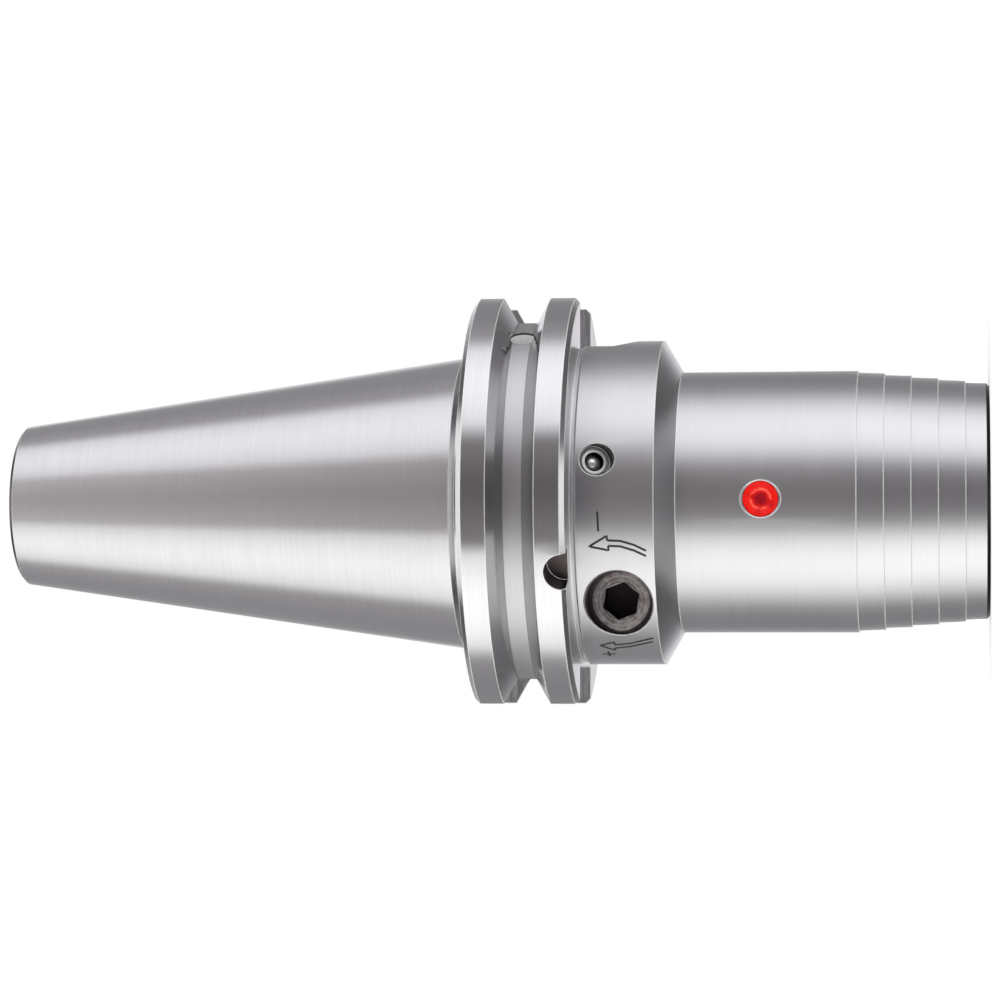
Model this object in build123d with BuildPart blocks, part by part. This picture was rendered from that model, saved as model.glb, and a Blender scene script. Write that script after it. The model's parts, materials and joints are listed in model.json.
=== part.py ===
from build123d import *
import os
from math import cos, radians, sin, sqrt, tan

# Hydraulic expansion chuck with a steep-taper shank, in millimetres.
# The origin is the centre of the taper's gauge plane and +Z points into the spindle.
# A depth is counted from the gauge plane down towards the tool end, so z = -depth.
# An angle is counted about Z from the middle of the deeper drive slot, which is +X.

# Steep taper 7:24
gauge_diameter = 44.45
taper_length = 68.4
taper_ratio = 7 / 24
taper_end_depth = 0.9
small_end_chamfer = 0.5

# Pull-stud hole in the small end
pilot_diameter = 17.0
pilot_length = 7.0
pilot_chamfer = 0.8
stud_thread_diameter = 13.84
stud_drill_depth = 43.0
drill_tip_angle = 59.0

# Gripper flange
flange_diameter = 63.55
flange_rear_depth = 3.2
flange_front_depth = 19.1
flange_rear_chamfer = 0.74
flange_front_chamfer = 0.7
neck_diameter = 43.2
groove_centre_depth = 11.1
groove_depth = 3.65
groove_bottom_width = 2.86
groove_flank_angle = 30.0

# Drive slots, milled by a disc cutter that runs out into the collar
slot_width = 16.1
slot_floors = {1: 22.8, -1: 25.0}
cutter_radius = 20.0
cutter_stop_depth = 19.5
slot_top_clearance = 4.0

# Collar and shoulder
collar_diameter = 49.4
collar_front_depth = 31.5
collar_undercut_width = 0.6
collar_undercut_height = 0.3
collar_chamfer = 0.25
shoulder_angle = 60.0

# Nose with stepped rings
nose_diameter = 39.7
ring_start_depth = 60.9
ring_count = 5
ring_pitch = 4.0
ring_step = 0.26
ring_slope = 2.1
last_ring_length = 3.6
front_chamfer = 0.45

# Expansion sleeve, brazed into the nose
tool_diameter = 20.0
sleeve_seat_diameter = 26.0
sleeve_seat_wall = 3.1
braze_gap = 0.05
chamber_height = 0.6
rear_land = 4.0
middle_land = 4.0
front_land = 5.5
tool_mouth_chamfer = 0.8
oil_passage = 0.2

# Length-stop screw behind the tool
stop_thread_diameter = 12.0
stop_pilot_diameter = 9.9
stop_clearance = 0.05
stop_thread_length = 14.0
stop_pilot_guide = 5.0
stop_face_recess = 0.5
stop_edge_chamfer = 0.5
stop_hex = 6.0
stop_hex_depth = 5.0
stop_coolant_diameter = 3.5
stop_travel = 10.0
stop_ring_cord = 1.5
stop_ring_clearance = 0.03
stop_ring_from_end = 2.4
stop_groove_margin = 0.25
coolant_bore_diameter = 8.0
pilot_bore_spare = 1.0
pellet_diameter = 2.4
pellet_depth = 1.8
pellet_from_face = 6.5

# Actuating screw in its chordal bore, and the piston that it drives
screw_heading = -96.8
screw_depth = 25.9
screw_offset = 13.55
screw_diameter = 10.0
screw_clearance = 0.05
screw_length = 9.0
screw_recess = 4.6
screw_edge_chamfer = 0.7
screw_hex = 5.0
screw_hex_turn = 21.0
screw_hex_depth = 5.0
screw_mouth_chamfer = 0.2
screw_travel = 4.0
piston_bore_diameter = 8.0
piston_clearance = 0.05
piston_length = 7.0
piston_edge_chamfer = 0.4
backup_length = 1.2
seal_length = 2.6
seal_lip = 0.7
oil_room = 1.8
piston_gap = 0.2

# Ports closed by an expander plug, a cup that the ball pressed into it spreads
port_mouth_diameter = 4.9
plug_diameter = 4.0
plug_clearance = 0.05
plug_bore_diameter = 2.85
plug_edge_chamfer = 0.15
plug_bottom = 0.5
plug_proud = 0.3
ball_clearance = 0.02
ball_sink = 0.35
gallery_diameter = 1.8
fill_depth = 23.2
fill_angle = -77.9
fill_lean = 20.0
fill_recess = 1.8
fill_gallery_depth = 20.1
bleed_depth = 46.9
bleed_angle = -91.5
bleed_recess = 1.0
bleed_mouth_diameter = 6.0
lacquer_gap = 0.02
lacquer_edge_diameter = 5.35
lacquer_cover = 0.42
lacquer_dip = 0.25
lacquer_valley = 0.15
lacquer_stem_length = 0.25

# Where the oil galleries open into the sleeve's rear chamber
gallery_entry_length = 1.5
gallery_entry_sink = 0.4

# Balancing features of the flange
balance_hole_depth = 18.6
balance_hole_angle = -111.5
balance_hole_diameter = 5.4
balance_hole_length = 4.6
balance_screw_angle = -31.4
balance_screw_diameter = 4.0
balance_screw_clearance = 0.05
balance_screw_length = 4.0
balance_screw_recess = 2.4
balance_screw_chamfer = 0.4
balance_screw_hex = 2.0
balance_screw_hex_depth = 1.8
balance_bore_spare = 1.2

os.makedirs("parts", exist_ok=True)


# Radius of the cone at a depth from the gauge plane
def taper_radius(depth):
    return gauge_diameter / 2 + depth * taper_ratio / 2


# Plane on the chuck's skin whose Z points outward, leaning towards the tool end
def skin_plane(depth, angle, radius, lean=0.0):
    across = Vector(cos(radians(angle)), sin(radians(angle)), 0)
    outward = across * cos(radians(lean)) - Vector(0, 0, sin(radians(lean)))
    return Plane(origin=across * radius - Vector(0, 0, depth), x_dir=(0, 0, -1), z_dir=outward)


# Straight drilled channel between two points
def gallery(start, end):
    path = end - start
    with BuildPart() as drilled:
        with BuildSketch(Plane(origin=start, z_dir=path)):
            Circle(gallery_diameter / 2)
        extrude(amount=path.length)
    return drilled.part


# Set screw with its face in the plane, chamfered at the face and with a hexagon socket
def set_screw(plane, diameter, length, chamfer_size, hex_size, hex_depth, turn=0.0):
    with BuildPart() as screw:
        with BuildSketch(plane):
            Circle(diameter / 2)
        extrude(amount=-length)
        rim = screw.faces().sort_by(Axis(plane.origin, plane.z_dir))[-1].edges()
        chamfer(rim, chamfer_size)
        with BuildSketch(plane):
            RegularPolygon(hex_size / 2, 6, major_radius=False, rotation=turn)
        extrude(amount=-hex_depth, mode=Mode.SUBTRACT)
    return screw.part


# Places along the chuck
flange_radius = flange_diameter / 2
groove_bottom_radius = flange_radius - groove_depth
collar_radius = collar_diameter / 2
nose_radius = nose_diameter / 2
seat_radius = sleeve_seat_diameter / 2
neck_radius = neck_diameter / 2
groove_half_bottom = groove_bottom_width / 2
groove_half_top = groove_half_bottom + groove_depth * tan(radians(groove_flank_angle))
shoulder_end_depth = collar_front_depth + (collar_radius - nose_radius) / tan(radians(shoulder_angle))
small_end_radius = taper_radius(-taper_length)
front_depth = ring_start_depth + (ring_count - 1) * ring_pitch + last_ring_length
sleeve_seat_depth = screw_depth + piston_bore_diameter / 2 + sleeve_seat_wall
gallery_entry_depth = sleeve_seat_depth + rear_land + gallery_entry_length

# Places along the stop screw's bore
stop_bore_radius = stop_thread_diameter / 2 + stop_clearance
stop_pilot_bore_radius = stop_pilot_diameter / 2 + stop_clearance
stop_face_depth = sleeve_seat_depth - stop_face_recess
stop_step_depth = stop_face_depth - stop_thread_length
stop_pilot_length = stop_pilot_guide + stop_travel
stop_rear_depth = stop_step_depth - stop_pilot_length
pilot_bore_end_depth = stop_rear_depth - pilot_bore_spare
bore_step = stop_bore_radius - stop_pilot_bore_radius
coolant_radius = coolant_bore_diameter / 2
stud_radius = stud_thread_diameter / 2
stud_cone_length = (stud_radius - coolant_radius) / tan(radians(drill_tip_angle))
stud_drill_end = taper_length - stud_drill_depth

# The chordal screw axis: the plane's origin is the point nearest the chuck's axis
heading = Vector(cos(radians(screw_heading)), sin(radians(screw_heading)), 0)
beside = Vector(heading.Y, -heading.X, 0)
chord_plane = Plane(
    origin=beside * screw_offset - Vector(0, 0, screw_depth),
    x_dir=(0, 0, -1),
    z_dir=heading,
)
mouth_height = sqrt(collar_radius**2 - screw_offset**2)
screw_face = mouth_height - screw_recess
screw_end = screw_face - screw_length
screw_bore_floor = screw_end - screw_travel - piston_gap
piston_end = screw_end - piston_length
backup_end = piston_end - backup_length
seal_end = backup_end - seal_length
piston_bore_floor = seal_end - screw_travel - oil_room
piston_bore_radius = piston_bore_diameter / 2

# Ports: the plug stands a little proud of the step that it is pressed into
plug_radius = plug_diameter / 2
plug_bore_radius = plug_bore_diameter / 2
ball_radius = plug_bore_radius - ball_clearance
plug_bore_length = ball_sink + 2 * ball_radius + ball_clearance
plug_length = plug_bore_length + plug_bottom
port_seat_length = plug_length - plug_proud + plug_clearance
port_mouth_radius = port_mouth_diameter / 2
fill_plane = skin_plane(fill_depth, fill_angle, collar_radius, fill_lean)
bleed_plane = skin_plane(bleed_depth, bleed_angle, nose_radius)

# Outline of the turned body, from the small end down the outside
outer_outline = [
    (small_end_radius - small_end_chamfer, taper_length),
    (taper_radius(small_end_chamfer - taper_length), taper_length - small_end_chamfer),
    (taper_radius(taper_end_depth), -taper_end_depth),
    (neck_radius, -taper_end_depth - taper_radius(taper_end_depth) + neck_radius),
    (neck_radius, -flange_rear_depth),
    (flange_radius - flange_rear_chamfer, -flange_rear_depth),
    (flange_radius, -flange_rear_depth - flange_rear_chamfer),
    (flange_radius, -groove_centre_depth + groove_half_top),
    (groove_bottom_radius, -groove_centre_depth + groove_half_bottom),
    (groove_bottom_radius, -groove_centre_depth - groove_half_bottom),
    (flange_radius, -groove_centre_depth - groove_half_top),
    (flange_radius, -flange_front_depth + flange_front_chamfer),
    (flange_radius - flange_front_chamfer, -flange_front_depth),
    (collar_radius - collar_undercut_height, -flange_front_depth),
    (collar_radius - collar_undercut_height, -flange_front_depth - collar_undercut_width),
    (collar_radius, -flange_front_depth - collar_undercut_width - collar_chamfer),
    (collar_radius, -collar_front_depth),
    (nose_radius, -shoulder_end_depth),
    (nose_radius, -ring_start_depth),
]

# Each ring starts one step smaller than the last one ended, and tapers gently
ring_end_radius = nose_radius
for ring in range(ring_count):
    top_depth = ring_start_depth + ring * ring_pitch
    bottom_depth = top_depth + ring_pitch if ring < ring_count - 1 else front_depth
    ring_top_radius = ring_end_radius - ring_step
    ring_end_radius = ring_top_radius - (bottom_depth - top_depth) * tan(radians(ring_slope))
    outer_outline.append((ring_top_radius, -top_depth))
    if ring < ring_count - 1:
        outer_outline.append((ring_end_radius, -bottom_depth))
outer_outline.append((ring_end_radius, -front_depth + front_chamfer))
outer_outline.append((ring_end_radius - front_chamfer, -front_depth))

# The bore, from the tool end back up to the pull-stud hole
bore_outline = [
    (seat_radius, -front_depth),
    (seat_radius, -sleeve_seat_depth),
    (stop_bore_radius, -sleeve_seat_depth),
    (stop_bore_radius, -stop_step_depth),
    (stop_pilot_bore_radius, -stop_step_depth + bore_step),
    (stop_pilot_bore_radius, -pilot_bore_end_depth),
    (coolant_radius, -pilot_bore_end_depth + stop_pilot_bore_radius - coolant_radius),
    (coolant_radius, stud_drill_end - stud_cone_length),
    (stud_radius, stud_drill_end),
    (stud_radius, taper_length - pilot_length),
    (pilot_diameter / 2, taper_length - pilot_length),
    (pilot_diameter / 2, taper_length - pilot_chamfer),
    (pilot_diameter / 2 + pilot_chamfer, taper_length),
]

# Oil galleries run slantwise from the sleeve's rear chamber, as a long drill enters the tool mouth
entry_radius = seat_radius - gallery_entry_sink
fill_gallery_radius = collar_radius - (fill_depth - fill_gallery_depth) / tan(radians(fill_lean))
fill_junction = skin_plane(fill_gallery_depth, fill_angle, fill_gallery_radius).origin
fill_entry = skin_plane(gallery_entry_depth, fill_angle, entry_radius).origin
piston_junction = chord_plane.origin + heading * (piston_bore_floor + gallery_diameter / 2)
piston_reach = Vector(piston_junction.X, piston_junction.Y, 0)
piston_entry = piston_reach.normalized() * entry_radius - Vector(0, 0, gallery_entry_depth)
fill_floor = fill_plane.origin - fill_plane.z_dir * (fill_recess + port_seat_length)
bleed_floor = bleed_plane.origin - bleed_plane.z_dir * (bleed_recess + port_seat_length)
bleed_entry = skin_plane(bleed_depth, bleed_angle, entry_radius).origin

with BuildPart() as chuck_body:
    with BuildSketch(Plane.XZ):
        with BuildLine():
            Polyline(*outer_outline, *bore_outline, close=True)
        make_face()
    revolve(axis=Axis.Z)

    # Two drive slots with the round run-out of the cutter
    slot_height = cutter_stop_depth - flange_rear_depth + slot_top_clearance
    for side, floor in slot_floors.items():
        with BuildSketch(Plane.XZ):
            with Locations((side * (floor + cutter_radius), -cutter_stop_depth)):
                Circle(cutter_radius)
            with Locations((side * (floor + cutter_radius / 2), -cutter_stop_depth + slot_height / 2)):
                Rectangle(cutter_radius, slot_height)
        extrude(amount=slot_width / 2, both=True, mode=Mode.SUBTRACT)

    # Chordal bore: tapped outside, smooth and narrower for the piston
    with BuildSketch(chord_plane.offset(piston_bore_floor)):
        Circle(piston_bore_radius)
    extrude(amount=screw_bore_floor - piston_bore_floor, mode=Mode.SUBTRACT)
    with BuildSketch(chord_plane.offset(screw_bore_floor)):
        Circle(screw_diameter / 2 + screw_clearance)
    extrude(amount=collar_diameter, mode=Mode.SUBTRACT)
    mouth_edge = chuck_body.edges(Select.LAST).sort_by(Axis(chord_plane.origin, chord_plane.z_dir))[-1]
    chamfer(mouth_edge, screw_mouth_chamfer)

    # Mouth of the filling port, leaning away from the flange
    with BuildSketch(fill_plane.offset(-fill_recess)):
        Circle(port_mouth_radius)
    extrude(amount=flange_radius - collar_radius + fill_recess, mode=Mode.SUBTRACT)

    # Countersunk mouth of the bleeding port
    with Locations(bleed_plane):
        CounterSinkHole(
            radius=port_mouth_radius,
            counter_sink_radius=bleed_mouth_diameter / 2,
            depth=bleed_recess,
            counter_sink_angle=90,
        )

    # Narrower seats of the two plugs
    for plane, recess in ((fill_plane, fill_recess), (bleed_plane, bleed_recess)):
        with BuildSketch(plane.offset(-recess - port_seat_length)):
            Circle(plug_radius + plug_clearance)
        extrude(amount=port_seat_length + recess / 2, mode=Mode.SUBTRACT)

    # Oil galleries
    add(gallery(fill_floor + fill_plane.z_dir * plug_clearance, fill_junction), mode=Mode.SUBTRACT)
    add(gallery(fill_junction, fill_entry), mode=Mode.SUBTRACT)
    add(gallery(piston_junction, piston_entry), mode=Mode.SUBTRACT)
    add(gallery(bleed_floor + bleed_plane.z_dir * plug_clearance, bleed_entry), mode=Mode.SUBTRACT)

    # Balancing hole that breaks through the flange's front face
    with Locations(skin_plane(balance_hole_depth, balance_hole_angle, flange_radius)):
        Hole(balance_hole_diameter / 2, balance_hole_length)

    # Tapped hole of the balancing screw in the groove's bottom
    with Locations(skin_plane(groove_centre_depth, balance_screw_angle, groove_bottom_radius)):
        Hole(
            balance_screw_diameter / 2 + balance_screw_clearance,
            balance_screw_recess + balance_screw_length + balance_bore_spare,
        )
chuck_body.part.label = "chuck_body"
export_step(chuck_body.part, "parts/chuck_body.step")

# The sleeve is brazed at its end lands; oil passes the middle land, which only steadies it
land_radius = seat_radius - braze_gap
chamber_radius = land_radius - chamber_height
chamber_length = (front_depth - sleeve_seat_depth - rear_land - middle_land - front_land) / 2
middle_land_depth = sleeve_seat_depth + rear_land + chamber_length
middle_land_radius = land_radius - oil_passage
tool_radius = tool_diameter / 2
with BuildPart() as expansion_sleeve:
    with BuildSketch(Plane.XZ):
        with BuildLine():
            Polyline(
                (tool_radius, -sleeve_seat_depth),
                (land_radius, -sleeve_seat_depth),
                (land_radius, -sleeve_seat_depth - rear_land),
                (chamber_radius, -sleeve_seat_depth - rear_land),
                (chamber_radius, -middle_land_depth),
                (middle_land_radius, -middle_land_depth),
                (middle_land_radius, -middle_land_depth - middle_land),
                (chamber_radius, -middle_land_depth - middle_land),
                (chamber_radius, -front_depth + front_land),
                (land_radius, -front_depth + front_land),
                (land_radius, -front_depth),
                (tool_radius + tool_mouth_chamfer, -front_depth),
                (tool_radius, -front_depth + tool_mouth_chamfer),
                close=True,
            )
        make_face()
    revolve(axis=Axis.Z)
expansion_sleeve.part.label = "expansion_sleeve"
export_step(expansion_sleeve.part, "parts/expansion_sleeve.step")

# Actuating screw
actuating_screw = set_screw(
    chord_plane.offset(screw_face),
    screw_diameter,
    screw_length,
    screw_edge_chamfer,
    screw_hex,
    screw_hex_depth,
    screw_hex_turn,
)
actuating_screw.label = "actuating_screw"
export_step(actuating_screw, "parts/actuating_screw.step")

# Piston
with BuildPart() as pressure_piston:
    with BuildSketch(chord_plane.offset(screw_end)):
        Circle(piston_bore_radius - piston_clearance)
    extrude(amount=-piston_length)
    screw_side = pressure_piston.faces().sort_by(Axis(chord_plane.origin, chord_plane.z_dir))[-1]
    chamfer(screw_side.edges(), piston_edge_chamfer)
pressure_piston.part.label = "pressure_piston"
export_step(pressure_piston.part, "parts/pressure_piston.step")

# Hard ring between the piston and its seal
with BuildPart() as piston_backup_ring:
    with BuildSketch(chord_plane.offset(piston_end)):
        Circle(piston_bore_radius - piston_clearance)
    extrude(amount=-backup_length)
piston_backup_ring.part.label = "piston_backup_ring"
export_step(piston_backup_ring.part, "parts/piston_backup_ring.step")

# Cup seal, hollowed on the oil side so that pressure spreads its lip
with BuildPart() as piston_seal:
    with BuildSketch(chord_plane.offset(backup_end)):
        Circle(piston_bore_radius - piston_clearance)
    extrude(amount=-seal_length)
    with BuildSketch(chord_plane.offset(seal_end)):
        Circle(piston_bore_radius - piston_clearance - seal_lip)
    extrude(amount=seal_length / 2, taper=30, mode=Mode.SUBTRACT)
piston_seal.part.label = "piston_seal"
export_step(piston_seal.part, "parts/piston_seal.step")

# A cup and its ball in each port
for port, plane, recess in (("fill", fill_plane, fill_recess), ("bleed", bleed_plane, bleed_recess)):
    rim_plane = plane.offset(plug_proud - recess)
    with BuildPart() as ball:
        with Locations(rim_plane.offset(-ball_sink - ball_radius)):
            Sphere(ball_radius)
    ball.part.label = f"{port}_ball"
    export_step(ball.part, f"parts/{port}_ball.step")
    with BuildPart() as plug:
        with BuildSketch(rim_plane):
            Circle(plug_radius)
        extrude(amount=-plug_length)
        rim_face = plug.faces().sort_by(Axis(rim_plane.origin, rim_plane.z_dir))[-1]
        chamfer(rim_face.edges(), plug_edge_chamfer)
        with BuildSketch(rim_plane):
            Circle(plug_bore_radius)
        extrude(amount=-plug_bore_length, mode=Mode.SUBTRACT)
    plug.part.label = f"{port}_plug"
    export_step(plug.part, f"parts/{port}_plug.step")

# Sealing lacquer over the bleeding port: it lies round and over the plug's rim and sinks in its middle
lacquer_foot = plug_proud - bleed_recess + lacquer_gap
lacquer_crest = lacquer_foot + lacquer_cover
lacquer_edge_radius = lacquer_edge_diameter / 2
lacquer_crest_radius = (plug_radius + plug_bore_radius) / 2
lacquer_valley_radius = (lacquer_crest_radius + lacquer_edge_radius) / 2
lacquer_skirt_radius = port_mouth_radius - 2 * lacquer_gap
lacquer_stem_radius = plug_bore_radius - 2 * lacquer_gap
mouth_cone_drop = 2 * lacquer_gap - bleed_mouth_diameter / 2
lacquer_edge = lacquer_edge_radius + mouth_cone_drop
with BuildPart() as seal_lacquer:
    with BuildSketch(Plane.XZ):
        with BuildLine():
            Polyline(
                (0, lacquer_crest - lacquer_dip),
                (plug_bore_radius - lacquer_dip, lacquer_crest - lacquer_dip),
                (lacquer_crest_radius, lacquer_crest),
                (lacquer_valley_radius, lacquer_edge - lacquer_valley),
                (lacquer_edge_radius, lacquer_edge),
                (lacquer_skirt_radius, lacquer_skirt_radius + mouth_cone_drop),
                (lacquer_skirt_radius, lacquer_foot - plug_proud),
                (plug_radius + 2 * lacquer_gap, lacquer_foot - plug_proud),
                (plug_radius + 2 * lacquer_gap, lacquer_foot),
                (lacquer_stem_radius, lacquer_foot),
                (lacquer_stem_radius, lacquer_foot - lacquer_stem_length),
                (0, lacquer_foot - lacquer_stem_length),
                close=True,
            )
        make_face()
    revolve(axis=Axis.Z)
lacquer_in_place = bleed_plane.location * seal_lacquer.part
lacquer_in_place.label = "seal_lacquer"
export_step(lacquer_in_place, "parts/seal_lacquer.step")

# Balancing screw in the groove's bottom
balance_screw = set_screw(
    skin_plane(groove_centre_depth, balance_screw_angle, groove_bottom_radius - balance_screw_recess),
    balance_screw_diameter,
    balance_screw_length,
    balance_screw_chamfer,
    balance_screw_hex,
    balance_screw_hex_depth,
)
balance_screw.label = "balance_screw"
export_step(balance_screw, "parts/balance_screw.step")

# Length-stop screw: tapped front part, smooth pilot behind it, coolant hole through both
stop_thread_radius = stop_thread_diameter / 2
stop_pilot_radius = stop_pilot_diameter / 2
ring_centre_radius = stop_pilot_bore_radius - stop_ring_clearance - stop_ring_cord / 2
ring_groove_radius = ring_centre_radius - stop_ring_cord / 2 - stop_ring_clearance
ring_depth = stop_rear_depth + stop_ring_from_end
ring_groove_half = stop_ring_cord / 2 + stop_groove_margin
with BuildPart() as stop_screw:
    with BuildSketch(Plane.XZ):
        with BuildLine():
            Polyline(
                (stop_coolant_diameter / 2, -stop_face_depth),
                (stop_thread_radius - stop_edge_chamfer, -stop_face_depth),
                (stop_thread_radius, -stop_face_depth + stop_edge_chamfer),
                (stop_thread_radius, -stop_step_depth),
                (stop_pilot_radius, -stop_step_depth),
                (stop_pilot_radius, -ring_depth - ring_groove_half),
                (ring_groove_radius, -ring_depth - ring_groove_half),
                (ring_groove_radius, -ring_depth + ring_groove_half),
                (stop_pilot_radius, -ring_depth + ring_groove_half),
                (stop_pilot_radius, -stop_rear_depth),
                (stop_coolant_diameter / 2, -stop_rear_depth),
                close=True,
            )
        make_face()
    revolve(axis=Axis.Z)
    with BuildSketch(Plane.XY.offset(-stop_face_depth)):
        RegularPolygon(stop_hex / 2, 6, major_radius=False)
    extrude(amount=stop_hex_depth, mode=Mode.SUBTRACT)
    pellet_plane = skin_plane(stop_face_depth - pellet_from_face, 0, stop_thread_radius)
    with Locations(pellet_plane):
        Hole(pellet_diameter / 2, pellet_depth)
stop_screw.part.label = "stop_screw"
export_step(stop_screw.part, "parts/stop_screw.step")

# Locking pellet in the stop screw's thread
with BuildPart() as stop_pellet:
    with BuildSketch(pellet_plane.offset(-pellet_depth)):
        Circle(pellet_diameter / 2)
    extrude(amount=pellet_depth)
    with BuildSketch(Plane.XY.offset(-stop_face_depth)):
        Circle(stop_thread_radius)
    extrude(amount=stop_thread_length, mode=Mode.INTERSECT)
stop_pellet.part.label = "stop_pellet"
export_step(stop_pellet.part, "parts/stop_pellet.step")

# Rubber ring of the stop screw's pilot, its round cord in eight flats
with BuildPart() as stop_ring:
    with BuildSketch(Plane.XZ):
        with Locations((ring_centre_radius, -ring_depth)):
            RegularPolygon(stop_ring_cord / 2, 8, major_radius=False, rotation=22.5)
    revolve(axis=Axis.Z)
stop_ring.part.label = "stop_ring"
export_step(stop_ring.part, "parts/stop_ring.step")
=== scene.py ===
# Hydraulic expansion chuck: looks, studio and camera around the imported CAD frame.
import json
from math import cos, hypot, pi, radians, sin

import bmesh
import bpy
from mathutils import Matrix, Vector


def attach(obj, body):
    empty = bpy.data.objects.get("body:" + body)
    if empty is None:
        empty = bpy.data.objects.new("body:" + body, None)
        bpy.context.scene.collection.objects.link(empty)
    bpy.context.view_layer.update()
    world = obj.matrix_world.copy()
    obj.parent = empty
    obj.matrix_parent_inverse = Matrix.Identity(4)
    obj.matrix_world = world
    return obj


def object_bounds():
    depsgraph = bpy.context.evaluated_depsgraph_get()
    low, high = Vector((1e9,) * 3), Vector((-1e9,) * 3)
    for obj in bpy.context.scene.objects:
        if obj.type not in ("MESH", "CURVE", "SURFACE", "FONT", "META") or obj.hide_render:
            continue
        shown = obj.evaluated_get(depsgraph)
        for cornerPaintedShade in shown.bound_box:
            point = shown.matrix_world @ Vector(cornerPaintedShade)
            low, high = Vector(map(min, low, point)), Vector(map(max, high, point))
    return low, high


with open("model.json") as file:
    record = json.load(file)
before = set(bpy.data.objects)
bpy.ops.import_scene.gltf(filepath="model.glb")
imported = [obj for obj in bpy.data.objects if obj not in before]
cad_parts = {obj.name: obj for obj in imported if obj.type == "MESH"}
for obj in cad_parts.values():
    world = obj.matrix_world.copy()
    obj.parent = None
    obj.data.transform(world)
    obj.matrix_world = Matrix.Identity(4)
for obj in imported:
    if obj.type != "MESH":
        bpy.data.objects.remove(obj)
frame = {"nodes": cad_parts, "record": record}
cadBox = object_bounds()
nodes = frame["nodes"]
mm = 0.001
print("frame loaded:", len(nodes), "nodes")


class Value:  # a socket that can stand in a Python sum
    def __init__(self, tree, socket):
        self.tree = tree
        self.socket = socket

    def math(self, operation, *others):
        sockets = {0: self, **dict(enumerate(others, 1))}
        return self.tree.node("ShaderNodeMath", {"operation": operation}, sockets)

    def __add__(self, other):
        return self.math("ADD", other)

    __radd__ = __add__

    def __mul__(self, other):
        return self.math("MULTIPLY", other)

    __rmul__ = __mul__

    def __sub__(self, other):
        return self.math("SUBTRACT", other)

    def __rsub__(self, other):
        return self.tree.node("ShaderNodeMath", {"operation": "SUBTRACT"}, {0: other, 1: self})

    def __neg__(self):
        return self * -1

    def __abs__(self):
        return self.math("ABSOLUTE")

    def rise(self, start, end):  # 0 at start, 1 at end, eased
        sockets = {"Value": self, "From Min": start, "From Max": end}
        return self.tree.node("ShaderNodeMapRange", {"interpolation_type": "SMOOTHSTEP"}, sockets)

    def band(self, start, end, soft):  # 1 between start and end, eased inside them
        return self.rise(start, start + soft) * self.rise(end, end - soft)

    def towards(self, other, share):
        return self + (other - self) * share


class Tree:
    def __init__(self, owner):
        owner.use_nodes = True
        self.nodeTree = owner.node_tree
        self.nodeTree.nodes.clear()

    def node(self, kind, settings=None, sockets=None, out=0):
        made = self.nodeTree.nodes.new(kind)
        for name, value in (settings or {}).items():
            setattr(made, name, value)
        for name, value in (sockets or {}).items():
            if isinstance(value, Value):
                self.nodeTree.links.new(value.socket, made.inputs[name])
            else:
                made.inputs[name].default_value = value
        return Value(self, made.outputs[out]) if made.outputs else None

    def vector(self, operation, first, second=(0, 0, 0), out=0):  # out 1 is the result's number
        return self.node("ShaderNodeVectorMath", {"operation": operation}, {0: first, 1: second}, out)

    def parts(self, vector):
        made = self.node("ShaderNodeSeparateXYZ", None, {0: vector})
        return [Value(self, socket) for socket in made.socket.node.outputs]

    def join(self, x, y, z):
        return self.node("ShaderNodeCombineXYZ", None, {0: x, 1: y, 2: z})

    def mixColours(self, share, first, second, blend="MIX"):  # 6, 7 and out 2 are its colours
        sockets = {"Factor": share, 6: first, 7: second}
        return self.node("ShaderNodeMix", {"data_type": "RGBA", "blend_type": blend}, sockets, out=2)

    def shaded(self, colour, level):
        return self.mixColours(1.0, colour, self.join(level, level, level), "MULTIPLY")

    def noise(self, vector, scale=1.0, detail=2.0, roughness=0.5):
        sockets = {"Vector": vector, "Scale": scale, "Detail": detail, "Roughness": roughness}
        return self.node("ShaderNodeTexNoise", {"noise_dimensions": "3D"}, sockets)

    def bevel(self, radius, samples=6):  # normals rounded over the edges, radius in millimetres
        return self.node("ShaderNodeBevel", {"samples": samples}, {"Radius": radius * mm})

    def bump(self, height, strength, distance, normal):  # distance in millimetres
        sockets = {"Strength": strength, "Distance": distance * mm, "Height": height, "Normal": normal}
        return self.node("ShaderNodeBump", None, sockets)

    def surface(self, sockets):
        skin = self.node("ShaderNodeBsdfPrincipled", None, sockets)
        self.node("ShaderNodeOutputMaterial", None, {"Surface": skin})


def opaque(colour):
    return tuple(colour) + (1.0,)


def grey(level, warm=0.0):  # warm above 0 is browner
    return opaque((level * (1 + warm), level, level * (1 - warm)))


# The photograph shows the chuck lying down: its picture's right is -Z here, and its up is nearly +X.
camera = {
    "lens": 129.53,
    "sensor": 36.0,
    "place": (-28.32, -548.47, -74.5),
    "turnOfChuck": 2.82,
    "yaw": -7.121,
    "tilt": -0.189,
    "roll": 0.258,
    "clipEnd": 50,
}
turn = radians(camera["turnOfChuck"])
photoUp = Vector((cos(turn), -sin(turn), 0))
photoFront = Vector((-sin(turn), -cos(turn), 0))


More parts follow.
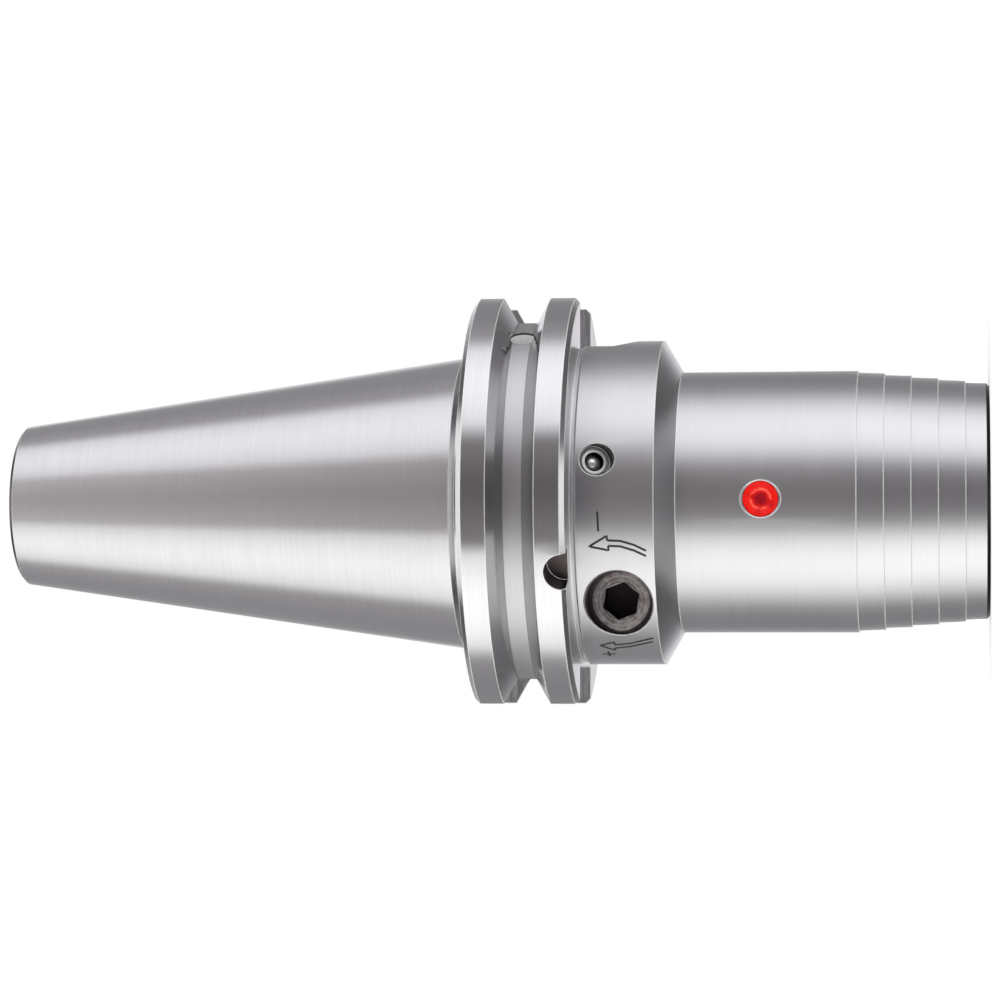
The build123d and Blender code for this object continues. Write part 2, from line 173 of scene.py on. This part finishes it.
def placeCamera():
    data = bpy.data.cameras.new("camera")
    data.lens = camera["lens"]
    data.sensor_width = camera["sensor"]
    data.clip_end = camera["clipEnd"]
    fromPhoto = Matrix(((0, photoUp.x, photoFront.x), (0, photoUp.y, photoFront.y), (-1, 0, 0)))
    aim = (
        Matrix.Rotation(radians(camera["roll"]), 3, "Z")
        @ Matrix.Rotation(radians(camera["tilt"]), 3, "X")
        @ Matrix.Rotation(radians(camera["yaw"]), 3, "Y")
    )
    made = bpy.data.objects.new("camera", data)
    bpy.context.collection.objects.link(made)
    place = Matrix.Translation(Vector(camera["place"]) * mm)
    made.matrix_world = place @ (fromPhoto @ aim.transposed()).to_4x4()
    bpy.context.scene.camera = made


placeCamera()
bpy.context.scene.view_settings.view_transform = "Standard"
print("camera placed")

# Directions in degrees: around is counted about the chuck's axis from the camera up over the chuck,
# and along is the height above the floor, towards the taper.
studio = {
    "boxes": {
        "top": {
            "side": 1,
            "edges": (39, 99),
            "soft": (7, 8),
            "level": 1.54,
            "fall": 0.29,
            "flare": 12,
            "tint": (0.98, 0.97, 1.01),
        },
        "low": {
            "side": -1,
            "edges": (24.5, 91),
            "soft": (5, 8),
            "level": 1.70,
            "fall": 0.35,
            "flare": 16,
            "tint": (1, 1, 1),
        },
    },
    "boxFoot": (-62, -20),
    "flareRise": (6.2, 3),
    "flareFall": (-20, -10),
    "spill": 0.13,
    "spillReach": (2, 1),  # in half widths of a box
    "toolEndGain": 0.30,
    "toolEndRise": (4, -4),
    "taperDrop": 0.15,
    "taperRise": (8, 30),
    "taperTint": (1.0, 0.935, 0.945),
    "taperTintRise": (4.5, 8),
    "roomDrop": 0.7,
    "roomFall": (36, 50),
    "front": {
        "dark": 0.185,
        "gain": 0.52,
        "rise": (16, 36),
        "tint": (0.955, 0.92, 0.995),
    },
    "rear": {
        "from": (70, 120),
        "dark": 0.325,
        "slope": 0.004,
        "gain": 0.65,
        "rise": (146, 174),
        "foot": (-30, -6),
        "lowDrop": 0.8,
        "lowAlong": (8, 12),
        "lowAround": (20, -20),
        "tint": (0.975, 0.95, 0.99),
    },
    "overhead": {"level": 1.25, "from": (58, 68)},
    "ground": {"level": 1.3, "from": (-71, -79)},
    "background": 1.0,
    "fill": 1.5,
}


def roomLevel(around, along, toRear):  # the grey room between the boxes
    front = studio["front"]
    rear = studio["rear"]
    frontLevel = along.rise(*front["rise"]) * front["gain"] + front["dark"]
    lowRear = along.rise(*rear["lowAlong"]) * around.rise(*rear["lowAround"])
    rearLight = abs(around).rise(*rear["rise"]) * along.rise(*rear["foot"])
    rearLight = rearLight * (1 - lowRear * rear["lowDrop"])
    rearLevel = rearLight * rear["gain"] + along * rear["slope"] + rear["dark"]
    level = frontLevel.towards(rearLevel, toRear)
    return level * (1 - along.rise(*studio["roomFall"]) * studio["roomDrop"])


def softBox(box, around, along):  # where it shines, how strongly, and its spill on the room
    start, end = box["edges"]
    softStart, softEnd = box["soft"]
    turned = around * box["side"]
    offCentre = (turned - (start + end) / 2) * (2 / (end - start))
    flare = along.rise(*studio["flareRise"]) * along.rise(*studio["flareFall"])
    widened = turned - flare * box["flare"]
    shape = turned.rise(start - softStart, start + softStart) * widened.rise(end + softEnd, end - softEnd)
    overTaper = along.rise(*studio["taperRise"]) * studio["taperDrop"]
    dimmer = 1 - overTaper + along.rise(*studio["toolEndRise"]) * studio["toolEndGain"]
    level = (1 - offCentre * offCentre * box["fall"]) * dimmer * box["level"]
    spill = abs(offCentre).rise(*studio["spillReach"]) * studio["spill"]
    return shape * along.rise(*studio["boxFoot"]), level, spill


def lightStudio():
    world = bpy.data.worlds.new("studio")
    bpy.context.scene.world = world
    tree = Tree(world)
    x, y, z = tree.parts(tree.node("ShaderNodeTexCoord", out="Generated"))
    up = x * photoUp.x + y * photoUp.y
    front = x * photoFront.x + y * photoFront.y
    around = up.math("ARCTAN2", front) * (180 / pi)
    along = z.math("ARCSINE") * (180 / pi)

    toRear = abs(around).rise(*studio["rear"]["from"])
    room = roomLevel(around, along, toRear)
    lights = []
    for box in studio["boxes"].values():
        shape, level, spill = softBox(box, around, along)
        lights.append((shape, tree.shaded(opaque(box["tint"]), level)))
        room = room + spill
    overTaper = along.rise(*studio["taperTintRise"])
    tint = tree.mixColours(overTaper, opaque(studio["front"]["tint"]), opaque(studio["taperTint"]))
    tint = tree.mixColours(toRear, tint, opaque(studio["rear"]["tint"]))
    colour = tree.shaded(tint, room)
    for shape, light in lights:
        colour = tree.mixColours(shape, colour, light)
    for end in (studio["overhead"], studio["ground"]):
        colour = tree.mixColours(along.rise(*end["from"]), colour, grey(end["level"]))

    diffuse = tree.node("ShaderNodeLightPath", out="Is Diffuse Ray")
    colour = tree.mixColours(diffuse, colour, grey(studio["fill"]))
    seen = tree.node("ShaderNodeLightPath", out="Is Camera Ray")
    colour = tree.mixColours(seen, colour, grey(studio["background"]))
    shine = tree.node("ShaderNodeBackground", None, {"Color": colour})
    tree.node("ShaderNodeOutputWorld", None, {"Surface": shine})


floorSheet = {
    "radius": 1.8,
    "opening": 0.0172,  # under the chuck, so that the bore shows from below
    "gap": 0.02,
    "segments": 96,
    "levels": (0.88, 0.92),
    "grain": 30.0,
    "roughness": 0.7,
}


def layFloor():
    sheet = bmesh.new()
    for radius in (floorSheet["radius"], floorSheet["opening"]):
        bmesh.ops.create_circle(sheet, segments=floorSheet["segments"], radius=radius)
    bmesh.ops.bridge_loops(sheet, edges=sheet.edges)
    data = bpy.data.meshes.new("floor")
    sheet.to_mesh(data)
    sheet.free()
    floor = bpy.data.objects.new("floor", data)
    floor.location.z = cadBox[0][2] - floorSheet["gap"] * mm
    bpy.context.collection.objects.link(floor)
    floor.visible_glossy = False
    paint = bpy.data.materials.new("floor_paint")
    tree = Tree(paint)
    grain = tree.noise(tree.node("ShaderNodeTexCoord", out="Object"), floorSheet["grain"], 3.0)
    dark, light = floorSheet["levels"]
    colour = tree.mixColours(grain, grey(dark), grey(light))
    tree.surface({"Base Color": colour, "Roughness": floorSheet["roughness"], "Specular IOR Level": 0.0})
    data.materials.append(paint)


lightStudio()
layFloor()
print("studio lit")

# Places in millimetres: a depth is counted from the gauge plane down, and an angle about the axis
# from +X. A pair is where one zone eases into the next, and a band's third number is its soft edge.
chuck = {
    "flangeRadius": 31.775,
    "collarRadius": 24.7,
    "noseRadius": 19.85,
    "taperToFlange": (0.6, 1.2),
    "flangeToCollar": (18.9, 19.5),
    "undercut": (19.2, 19.75, 0.1),
    "collarToCone": (31.5, 31.6),
    "coneToNose": (34.15, 34.25),
    "frontEdgePaintedShade": {"depth": (79.95, 80.0), "radius": (16.9, 17.1)},
    "rearEdgePaintedShade": {"height": (67.85, 67.92), "radius": (11.5, 11.7)},
    "groove": {
        "depth": 11.1,
        "bottom": 28.125,
        "bottomEdge": (28.15, 28.25),
        "bottomHalf": (1.55, 1.45),
        "flanks": (1.48, 3.52, 0.06),
    },
    "slots": {
        "mouth": (22.3, 22.6),
        "top": (3.15, 3.3),
        "walls": (7.9, 8.2, 0.1),
        "wallRim": (0.02, 0.06),
        "flangeEnd": (19.15, 19.25),
        "floorEdge": (8.1, 8.05),
        "flangeFloorEnd": (19.2, 19.1),
        "flangeFloor": (27.6, 27.4),
        "collarFloor": (24.66, 24.6),
    },
    "studThread": {"heights": (25.4, 61.5, 0.5), "radius": (7.2, 7.0), "pitch": 2.0},
}


def skinLine(depth, angle, radius, lean=0.0):  # a point on the skin and the direction out of it
    across = Vector((cos(radians(angle)), sin(radians(angle)), 0))
    out = across * cos(radians(lean)) - Vector((0, 0, sin(radians(lean))))
    return across * radius - Vector((0, 0, depth)), out


def chordLine(depth, angle, offset):  # a line that passes beside the axis
    across = Vector((cos(radians(angle)), sin(radians(angle)), 0))
    return Vector((across.y, -across.x, 0)) * offset - Vector((0, 0, depth)), across


screwLine = chordLine(25.9, -96.8, 13.55)

# Holes in the body: from their floor outwards they are duller than the skin and carry painted shade; the
# balance screw's hole is painted near white as a painted reflection
holes = {
    "screwBore": {
        "line": screwLine,
        "radius": 5.25,
        "floor": 6.0,
        "colour": (0.20, 0.165, 0.155),
        "share": 0.75,
        "roughness": 0.42,
        "pitch": 1.0,
    },
    "balanceHole": {
        "line": skinLine(18.6, -111.5, chuck["flangeRadius"]),
        "radius": 2.7,
        "floor": -4.7,
        "colour": (0.085, 0.062, 0.060),
        "share": 0.92,
        "roughness": 0.5,
    },
    "balanceScrewHole": {
        "line": skinLine(chuck["groove"]["depth"], -31.4, chuck["groove"]["bottom"]),
        "radius": 2.05,
        "floor": -6.0,
        # Painted reflection: the hole's inside is painted near white
        "colour": (0.95, 0.95, 0.96),
        "share": 1.0,
        "roughness": 0.5,
        "matt": 0.85,
        "mouth": {
            "shade": (-0.45, -0.35),
            "colour": (0.05, 0.045, 0.045),
            "rim": (0.35, 0.3),
            "rimReach": (-1.5, -1.0),
        },
    },
    "fillMouth": {
        "line": skinLine(23.2, -77.9, chuck["collarRadius"], 20.0),
        "radius": 2.45,
        "floor": -1.95,
        "colour": (0.09, 0.08, 0.078),
        "share": 0.75,
        "roughness": 0.35,
    },
}
holeEdges = {"wall": (0.08, 0.01), "floor": 0.2, "top": (0, -0.1)}


def distances(tree, inMm, line):  # from a line, and along it from its point
    place, out = line
    offset = tree.vector("SUBTRACT", inMm, place)
    off = tree.vector("LENGTH", tree.vector("CROSS_PRODUCT", offset, out), out=1)
    return off, tree.vector("DOT_PRODUCT", offset, out, out=1)


def inMillimetres(tree):
    look = tree.node("ShaderNodeTexCoord", out="Object")
    return tree.node("ShaderNodeVectorMath", {"operation": "SCALE"}, {0: look, "Scale": 1 / mm})


bodySteel = {
    "colour": (0.615, 0.612, 0.615),
    "anisotropic": 0.5,
    "roughness": {
        "taper": 0.19,
        "flange": 0.14,
        "collar": 0.40,
        "undercut": 0.60,
        "cone": 0.24,
        "nose": 0.40,
        "flank": 0.10,
        "groove": 0.50,
        "slotFloor": 0.22,
        "slotWall": 0.50,
        "edge": 0.5,
    },
    "profileSlant": 0.7,
    # How far each noise moves the roughness and the shade
    "lines": {"scale": 5.0, "across": 0.05, "roughness": 0.06, "shade": 0.15},
    "broad": {"scale": 0.5, "across": 0.12, "shade": 0.06},
    "cloud": {"scale": 0.16, "roughness": 0.05, "shade": 0.07},
    "speckle": {"scale": 3.5, "height": 0.5},
    "streaks": {"scale": 1.7, "across": 0.1, "edges": (0.42, 0.6), "shade": 0.35},
    "shade": 0.965,
    # Painted light: the narrow undercut is painted lighter than the steel around it
    "undercutPaintedLight": 0.4,
    # Painted shade: the groove's flanks are painted darker
    "flankPaintedShade": 0.10,
    "bevel": 0.22,
    "bump": {"strength": 0.22, "distance": 0.02, "lines": 0.6, "thread": 2.7},
    # Worn edges: duller and less metallic, and painted near white as a highlight
    "wornAndPaintedHighlight": {"from": (0.9955, 0.96), "share": 0.85, "matt": 0.6, "colour": (0.96, 0.95, 0.95)},
    # Painted shade in the groove's inner corners
    "cornerPaintedShade": {
        "radius": (28.7, 28.5),
        "fromGroove": (2.2, 1.9),
        "share": 0.7,
        "colour": (0.10, 0.085, 0.085),
    },
    # Painted shade: dark lines on the chamfers at both ends, where they reflect the dark room
    "frontEdgePaintedShade": (0.04, 0.035, 0.035),
    "rearEdgePaintedShade": (0.11, 0.105, 0.105),
}


class BodySkin:  # where a point of the body lies, and the noises of its turned steel
    def __init__(self, tree):
        groove = chuck["groove"]
        self.inMm = inMillimetres(tree)
        self.x, self.y, self.z = tree.parts(self.inMm)
        self.radius = (self.x * self.x + self.y * self.y).math("SQRT")
        self.depth = -self.z
        self.fromGroove = abs(self.depth - groove["depth"])
        aboveBottom = self.radius.rise(*groove["bottomEdge"])
        self.flank = self.fromGroove.band(*groove["flanks"]) * aboveBottom
        self.groove = self.fromGroove.rise(*groove["bottomHalf"]) * (1 - aboveBottom)
        self.undercut = self.depth.band(*chuck["undercut"])
        self.lines = tree.noise(self.stretched(tree, bodySteel["lines"]), 1.0, 4.0, 0.7)
        self.broad = tree.noise(self.stretched(tree, bodySteel["broad"]), 1.0, 3.0)
        self.cloud = tree.noise(self.inMm, bodySteel["cloud"]["scale"], 4.0, 0.6)

    def stretched(self, tree, marks):  # fine along any turned surface, long around it
        profile = self.z + self.radius * bodySteel["profileSlant"]
        return tree.join(profile * marks["scale"], self.x * marks["across"], self.y * marks["across"])


def turnedRoughness(skin):
    levels = bodySteel["roughness"]
    roughness = skin.depth.rise(*chuck["taperToFlange"]) * (levels["flange"] - levels["taper"])
    roughness = roughness + levels["taper"]
    zones = {
        "collar": skin.depth.rise(*chuck["flangeToCollar"]),
        "undercut": skin.undercut,
        "cone": skin.depth.rise(*chuck["collarToCone"]),
        "nose": skin.depth.rise(*chuck["coneToNose"]),
        "flank": skin.flank,
        "groove": skin.groove,
    }
    for name, zone in zones.items():
        roughness = roughness.towards(levels[name], zone)
    roughness = roughness + (skin.cloud - 0.5) * bodySteel["cloud"]["roughness"]
    return roughness + (skin.lines - 0.5) * bodySteel["lines"]["roughness"]


# Random turned tone, with painted light on the undercut and painted shade on the groove's flanks
def turnedToneAndPaintedShade(skin):
    shade = bodySteel["shade"] + skin.undercut * bodySteel["undercutPaintedLight"]
    for name, noise in (("broad", skin.broad), ("lines", skin.lines), ("cloud", skin.cloud)):
        shade = shade + (noise - 0.5) * bodySteel[name]["shade"]
    return shade * (1 - skin.flank * bodySteel["flankPaintedShade"])


def slotMasks(skin):  # milled floors and walls of the drive slots
    slots = chuck["slots"]
    inSlots = abs(skin.x).rise(*slots["mouth"]) * skin.depth.rise(*slots["top"])
    step = chuck["collarRadius"] - chuck["flangeRadius"]
    edge = skin.depth.rise(*slots["flangeEnd"]) * step + chuck["flangeRadius"]
    walls = abs(skin.y).band(*slots["walls"]) * (edge - skin.radius).rise(*slots["wallRim"])
    inFlange = skin.depth.rise(*slots["flangeFloorEnd"]) * skin.radius.rise(*slots["flangeFloor"])
    inCollar = skin.radius.rise(*slots["collarFloor"]) * (1 - inFlange)
    floors = abs(skin.y).rise(*slots["floorEdge"]) * (inFlange + inCollar)
    return inSlots * floors, inSlots * walls


def drillHoles(tree, skin, look):
    for hole in holes.values():
        floor = hole["floor"]
        off, reach = distances(tree, skin.inMm, hole["line"])
        fromWall = off - hole["radius"]
        inside = fromWall.rise(*holeEdges["wall"]) * reach.rise(floor - holeEdges["floor"], floor)
        if "mouth" in hole:
            inside = inside * reach.rise(*holeEdges["top"])  # keeps the groove's flanks out
        look["roughness"] = look["roughness"].towards(hole["roughness"], inside)
        # Painted shade inside the holes, and a painted bright reflection in the balance screw's hole
        look["colour"] = tree.mixColours(inside * hole["share"], look["colour"], opaque(hole["colour"]))
        if "mouth" in hole:  # painted shade under the rim, which gets no painted edge highlight
            mouth = hole["mouth"]
            shaded = inside * reach.rise(*mouth["shade"])
            look["colour"] = tree.mixColours(shaded, look["colour"], opaque(mouth["colour"]))
            rim = fromWall.rise(*mouth["rim"]) * reach.rise(*mouth["rimReach"])
            look["wornAndPaintedHighlight"] = look["wornAndPaintedHighlight"] * (1 - rim)
            look["matt"] = inside * hole["matt"]
        if "pitch" in hole:
            look["thread"] = look["thread"] + (reach * (2 * pi / hole["pitch"])).math("SINE") * inside


def steelOfBody():
    steel = bpy.data.materials.new("turned_steel")
    tree = Tree(steel)
    skin = BodySkin(tree)
    levels = bodySteel["roughness"]
    floors, walls = slotMasks(skin)
    roughness = turnedRoughness(skin).towards(levels["slotFloor"], floors)
    roughness = roughness.towards(levels["slotWall"], walls)
    milling = bodySteel["streaks"]
    along = tree.join(skin.z * milling["scale"], skin.x * milling["across"], 0.0)
    streaks = tree.noise(along, 1.0, 3.0, 0.7)
    shade = turnedToneAndPaintedShade(skin) * (1 - streaks.rise(*milling["edges"]) * walls * milling["shade"])
    stud = chuck["studThread"]
    turns = (skin.z * (2 * pi / stud["pitch"])).math("SINE")
    thread = turns * skin.radius.rise(*stud["radius"]) * skin.z.band(*stud["heights"])

    # Rounded and worn edges scatter light from all sides and carry a painted highlight, and the groove's
    # inner corners carry painted shade
    edges = bodySteel["wornAndPaintedHighlight"]
    corners = bodySteel["cornerPaintedShade"]
    bevelled = tree.bevel(bodySteel["bevel"])
    faces = tree.node("ShaderNodeNewGeometry", out="Normal")
    wornAndPaintedHighlight = tree.vector("DOT_PRODUCT", bevelled, faces, out=1).rise(*edges["from"])
    inCorner = skin.radius.rise(*corners["radius"]) * skin.fromGroove.rise(*corners["fromGroove"])
    cornerPaintedShade = wornAndPaintedHighlight * inCorner
    look = {
        "colour": tree.shaded(opaque(bodySteel["colour"]), shade),
        "roughness": roughness,
        "thread": thread,
        "wornAndPaintedHighlight": wornAndPaintedHighlight * (1 - inCorner),
    }
    drillHoles(tree, skin, look)
    wornAndPaintedHighlight = look["wornAndPaintedHighlight"]
    # Painted highlight on the rounded and worn edges
    colour = tree.mixColours(wornAndPaintedHighlight * edges["share"], look["colour"], opaque(edges["colour"]))
    # Painted shade in the groove's inner corners
    colour = tree.mixColours(cornerPaintedShade * corners["share"], colour, opaque(corners["colour"]))
    front = chuck["frontEdgePaintedShade"]
    rear = chuck["rearEdgePaintedShade"]
    frontEdgePaintedShade = skin.depth.rise(*front["depth"]) * skin.radius.rise(*front["radius"])
    rearEdgePaintedShade = skin.z.rise(*rear["height"]) * skin.radius.rise(*rear["radius"])
    # Painted shade on the front and rear chamfers
    colour = tree.mixColours(frontEdgePaintedShade, colour, opaque(bodySteel["frontEdgePaintedShade"]))
    colour = tree.mixColours(rearEdgePaintedShade, colour, opaque(bodySteel["rearEdgePaintedShade"]))
    matt = look["matt"].math("MAXIMUM", wornAndPaintedHighlight * edges["matt"]) * (1 - rearEdgePaintedShade)

    relief = bodySteel["bump"]
    speckle = tree.noise(skin.inMm, bodySteel["speckle"]["scale"], 3.0, 0.6)
    height = skin.lines * relief["lines"] + speckle * bodySteel["speckle"]["height"]
    height = height + look["thread"] * relief["thread"]
    tree.surface(
        {
            "Base Color": colour,
            "Metallic": 1 - matt,
            "Roughness": look["roughness"].towards(levels["edge"], wornAndPaintedHighlight),
            "Anisotropic": bodySteel["anisotropic"],
            "Anisotropic Rotation": 0.25,
            "Normal": tree.bump(height, relief["strength"], relief["distance"], bevelled),
        }
    )
    return steel


blackOxide = (0.085, 0.066, 0.064)
burntSteel = (0.035, 0.030, 0.030)
pelletBlue = (0.08, 0.2, 0.5)

# Plain metals, rubber and plastic
finishes = {
    "sleeve_steel": {"colour": grey(0.60, 0.01), "metal": 1.0, "rough": 0.2, "grain": 0.6, "bump": 0.05},
    "black_screw": {"colour": opaque(blackOxide), "metal": 0.9, "rough": 0.36, "grain": 1.4, "bump": 0.25},
    "piston_steel": {"colour": grey(0.60), "metal": 1.0, "rough": 0.18, "grain": 0.8, "bump": 0.05},
    "hard_ring": {"colour": grey(0.82, 0.02), "metal": 0.0, "rough": 0.5, "grain": 1.0, "bump": 0.1},
    "seal_rubber": {"colour": grey(0.03), "metal": 0.0, "rough": 0.6, "grain": 2.0, "bump": 0.2},
    "ball_steel": {"colour": grey(0.92), "metal": 0.9, "rough": 0.32, "grain": 1.0, "bump": 0.03},
    "port_plug": {"colour": grey(0.92, 0.01), "metal": 0.85, "rough": 0.45, "grain": 1.6, "bump": 0.12},
    "set_screw": {"colour": grey(0.66), "metal": 1.0, "rough": 0.25, "grain": 1.6, "bump": 0.1},
    "pellet_plastic": {"colour": opaque(pelletBlue), "metal": 0.0, "rough": 0.5, "grain": 2.0, "bump": 0.1},
    "etched_mark": {"colour": opaque(burntSteel), "metal": 0.3, "rough": 0.6, "grain": 6.0, "bump": 0.2},
}
plain = {
    "darkest": 0.9,
    "shade": 0.2,
    "roughness": 0.14,
    "fineness": 5,
    "bevel": 0.12,
    "bumpDistance": 0.05,
}

# Painted shade: the port's cup is dark inside
cupPaintedShade = {"line": holes["fillMouth"]["line"], "radius": (1.48, 1.43), "colour": (0.03, 0.027, 0.027)}


def plainFinish(name):
    finish = finishes[name]
    made = bpy.data.materials.new(name)
    tree = Tree(made)
    inMm = inMillimetres(tree)
    grain = tree.noise(inMm, finish["grain"], 4.0, 0.6)
    fine = tree.noise(inMm, finish["grain"] * plain["fineness"], 2.0)
    colour = tree.shaded(finish["colour"], plain["darkest"] + grain * plain["shade"])
    if name == "port_plug":
        # Painted shade in the port's cup
        off = distances(tree, inMm, cupPaintedShade["line"])[0]
        colour = tree.mixColours(off.rise(*cupPaintedShade["radius"]), colour, opaque(cupPaintedShade["colour"]))
    rounded = tree.bevel(plain["bevel"], 4)
    tree.surface(
        {
            "Base Color": colour,
            "Metallic": finish["metal"],
            "Roughness": finish["rough"] + (grain - 0.5) * plain["roughness"],
            "Normal": tree.bump(fine, finish["bump"], plain["bumpDistance"], rounded),
        }
    )
    return made


clampScrew = {
    "face": (0.62, 0.58, 0.575),
    "groove": (0.19, 0.16, 0.155),
    "ringScale": 2.3,
    "ringEdges": (0.38, 0.62),
    "scuffScale": 0.9,
    "scuffShare": 0.4,
    "scuffRoughness": 0.2,
    # Painted highlight on the outer chamfer
    "rim": (0.52, 0.495, 0.49),
    "rimFrom": (4.25, 4.4),
    "rimShare": 0.7,
    # Painted shade in the hexagon socket
    "socket": (0.075, 0.062, 0.064),
    "socketRadius": (3.3, 3.1),
    "socketReach": (16.03, 15.85),  # just under the screw's face
    "socketRoughness": 0.1,
    "roughness": 0.52,
    "bevel": 0.2,
    "bump": 0.25,
    "bumpDistance": 0.05,
}


def clampScrewFinish():  # turned rings on a browned face, a painted highlight on the chamfer rim, and painted shade in the hexagon socket
    made = bpy.data.materials.new("clamp_screw")
    tree = Tree(made)
    inMm = inMillimetres(tree)
    off, reach = distances(tree, inMm, screwLine)
    rings = tree.noise(tree.join(off * clampScrew["ringScale"], 0.0, 0.0), 1.0, 3.0, 0.6)
    scuffs = tree.noise(inMm, clampScrew["scuffScale"], 4.0, 0.65)
    tone = rings.towards(scuffs, clampScrew["scuffShare"]).rise(*clampScrew["ringEdges"])
    colour = tree.mixColours(tone, opaque(clampScrew["groove"]), opaque(clampScrew["face"]))
    # Painted highlight on the screw's outer chamfer
    rim = off.rise(*clampScrew["rimFrom"]) * clampScrew["rimShare"]
    colour = tree.mixColours(rim, colour, opaque(clampScrew["rim"]))
    inSocket = off.rise(*clampScrew["socketRadius"]) * reach.rise(*clampScrew["socketReach"])
    # Painted shade in the hexagon socket
    colour = tree.mixColours(inSocket, colour, opaque(clampScrew["socket"]))
    roughness = clampScrew["roughness"] + (scuffs - 0.5) * clampScrew["scuffRoughness"]
    rounded = tree.bevel(clampScrew["bevel"])
    tree.surface(
        {
            "Base Color": colour,
            "Metallic": 1.0,
            "Roughness": roughness + inSocket * clampScrew["socketRoughness"],
            "Normal": tree.bump(rings, clampScrew["bump"], clampScrew["bumpDistance"], rounded),
        }
    )
    return made


lacquer = {
    "line": skinLine(46.9, -91.5, chuck["noseRadius"]),
    "crest": 1.45,
    "dip": 0.9,
    "blotchScale": 0.9,
    "rippleScale": 1.6,
    "patches": (0.58, 0.36),
    "patchShare": 0.85,
    "colour": (0.72, 0.006, 0.002),
    "shadow": (0.46, 0.002, 0.004),
    "deep": (0.26, 0.001, 0.006),
    # Painted highlight on the lacquer's crest, in patches
    "paintedCrestHighlight": (0.85, 0.10, 0.06),
    "highlightReach": (0.3, 0.0),
    "highlightPatches": (0.42, 0.60),
    "roughness": 0.2,
    "blotchRoughness": 0.1,
    "gloss": 0.12,
    "coatRoughness": 0.05,
    "bevel": 0.25,
    "bump": 0.5,
    "bumpDistance": 0.15,
}


def lacquerFinish():
    made = bpy.data.materials.new("red_lacquer")
    tree = Tree(made)
    inMm = inMillimetres(tree)
    off = distances(tree, inMm, lacquer["line"])[0]
    blotch = tree.noise(inMm, lacquer["blotchScale"], 3.0, 0.6)
    ripple = tree.noise(inMm, lacquer["rippleScale"], 2.0)
    crest = lacquer["crest"]
    patches = blotch.rise(*lacquer["patches"]) * lacquer["patchShare"]
    red = tree.mixColours(patches, opaque(lacquer["colour"]), opaque(lacquer["shadow"]))
    colour = tree.mixColours(off.rise(crest - lacquer["dip"], crest), opaque(lacquer["deep"]), red)
    # Painted highlight along the crest
    paintedCrestHighlight = abs(off - crest).rise(*lacquer["highlightReach"]) * blotch.rise(*lacquer["highlightPatches"])
    colour = tree.mixColours(paintedCrestHighlight, colour, opaque(lacquer["paintedCrestHighlight"]))
    rounded = tree.bevel(lacquer["bevel"])
    tree.surface(
        {
            "Base Color": colour,
            "Roughness": lacquer["roughness"] + blotch * lacquer["blotchRoughness"],
            "Specular IOR Level": lacquer["gloss"],
            "Coat Weight": lacquer["gloss"],
            "Coat Roughness": lacquer["coatRoughness"],
            "Normal": tree.bump(ripple, lacquer["bump"], lacquer["bumpDistance"], rounded),
        }
    )
    return made


materials = {name: plainFinish(name) for name in finishes}
materials["turned_steel"] = steelOfBody()
materials["red_lacquer"] = lacquerFinish()
materials["clamp_screw"] = clampScrewFinish()
finishOf = {part["node"]: part["material_slot"] for part in frame["record"]["subparts"]}
finishOf["actuating_screw"] = "clamp_screw"
for name, node in nodes.items():
    finish = materials[finishOf[name]]
    if not node.material_slots:
        node.data.materials.append(finish)
    for slot in node.material_slots:
        slot.material = finish
nodes["seal_lacquer"].visible_glossy = False  # its red doesn't show in the steel
print("finishes made:", len(materials))

# Turning marks etched on the collar: each stroke's points are millimetres from the gauge plane
# and degrees round from the camera's side
marks = {
    "lift": 0.012,
    "step": 0.3,
    "widths": {"minus": 0.3, "releaseArrow": 0.33, "clampArrow": 0.36, "plus": 0.34},
    "minus": [[(23.3, -3.0), (23.4, -9.9)]],
    "releaseArrow": [
        [(24.68, -13.0), (24.63, -11.4), (22.0, -15.1), (24.86, -16.5), (24.81, -14.9)],
        [(24.68, -13.0), (26.6, -13.2), (28.6, -14.6), (30.37, -16.7)],
        [(24.81, -14.9), (26.6, -15.1), (28.6, -16.6), (30.34, -18.6)],
    ],
    "clampArrow": [
        [(24.7, -62.0), (24.55, -63.6), (22.5, -60.0), (24.6, -57.6), (24.7, -59.6)],
        [(24.7, -62.0), (27.0, -60.8), (30.48, -57.3)],
        [(24.7, -59.6), (27.0, -58.5), (30.55, -55.0)],
    ],
    "plus": [[(23.5, -65.0), (23.6, -69.5)], [(22.6, -67.3), (24.5, -67.3)]],
}


def onCollar(depth, around):
    angle = radians(around - camera["turnOfChuck"] - 90)
    radius = chuck["collarRadius"] + marks["lift"]
    return Vector((radius * cos(angle), radius * sin(angle), -depth)) * mm


def smoothStroke(points):  # points along a stroke, evenly close
    made = []
    for (depthA, aroundA), (depthB, aroundB) in zip(points, points[1:]):
        arc = radians(aroundB - aroundA) * chuck["collarRadius"]
        count = max(1, round(hypot(depthB - depthA, arc) / marks["step"]))
        for step in range(count):
            share = step / count
            made.append((depthA + (depthB - depthA) * share, aroundA + (aroundB - aroundA) * share))
    return made + [points[-1]]


def etchStroke(sheet, points, half):
    perDegree = radians(1) * chuck["collarRadius"]
    rungs = []
    for index, (depth, around) in enumerate(points):
        before = points[max(index - 1, 0)]
        after = points[min(index + 1, len(points) - 1)]
        run = Vector((after[0] - before[0], (after[1] - before[1]) * perDegree)).normalized() * half
        sides = [onCollar(depth - run.y * side, around + run.x * side / perDegree) for side in (-1, 1)]
        rungs.append([sheet.verts.new(place) for place in sides])
    for (a, b), (c, d) in zip(rungs, rungs[1:]):
        sheet.faces.new((a, b, d, c))


def etchMarks():
    sheet = bmesh.new()
    for name, width in marks["widths"].items():
        for stroke in marks[name]:
            etchStroke(sheet, smoothStroke(stroke), width / 2)
    data = bpy.data.meshes.new("turning_marks")
    sheet.to_mesh(data)
    sheet.free()
    data.materials.append(materials["etched_mark"])
    piece = bpy.data.objects.new("turning_marks", data)
    bpy.context.collection.objects.link(piece)
    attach(piece, "chuck")


etchMarks()
print("marks etched")
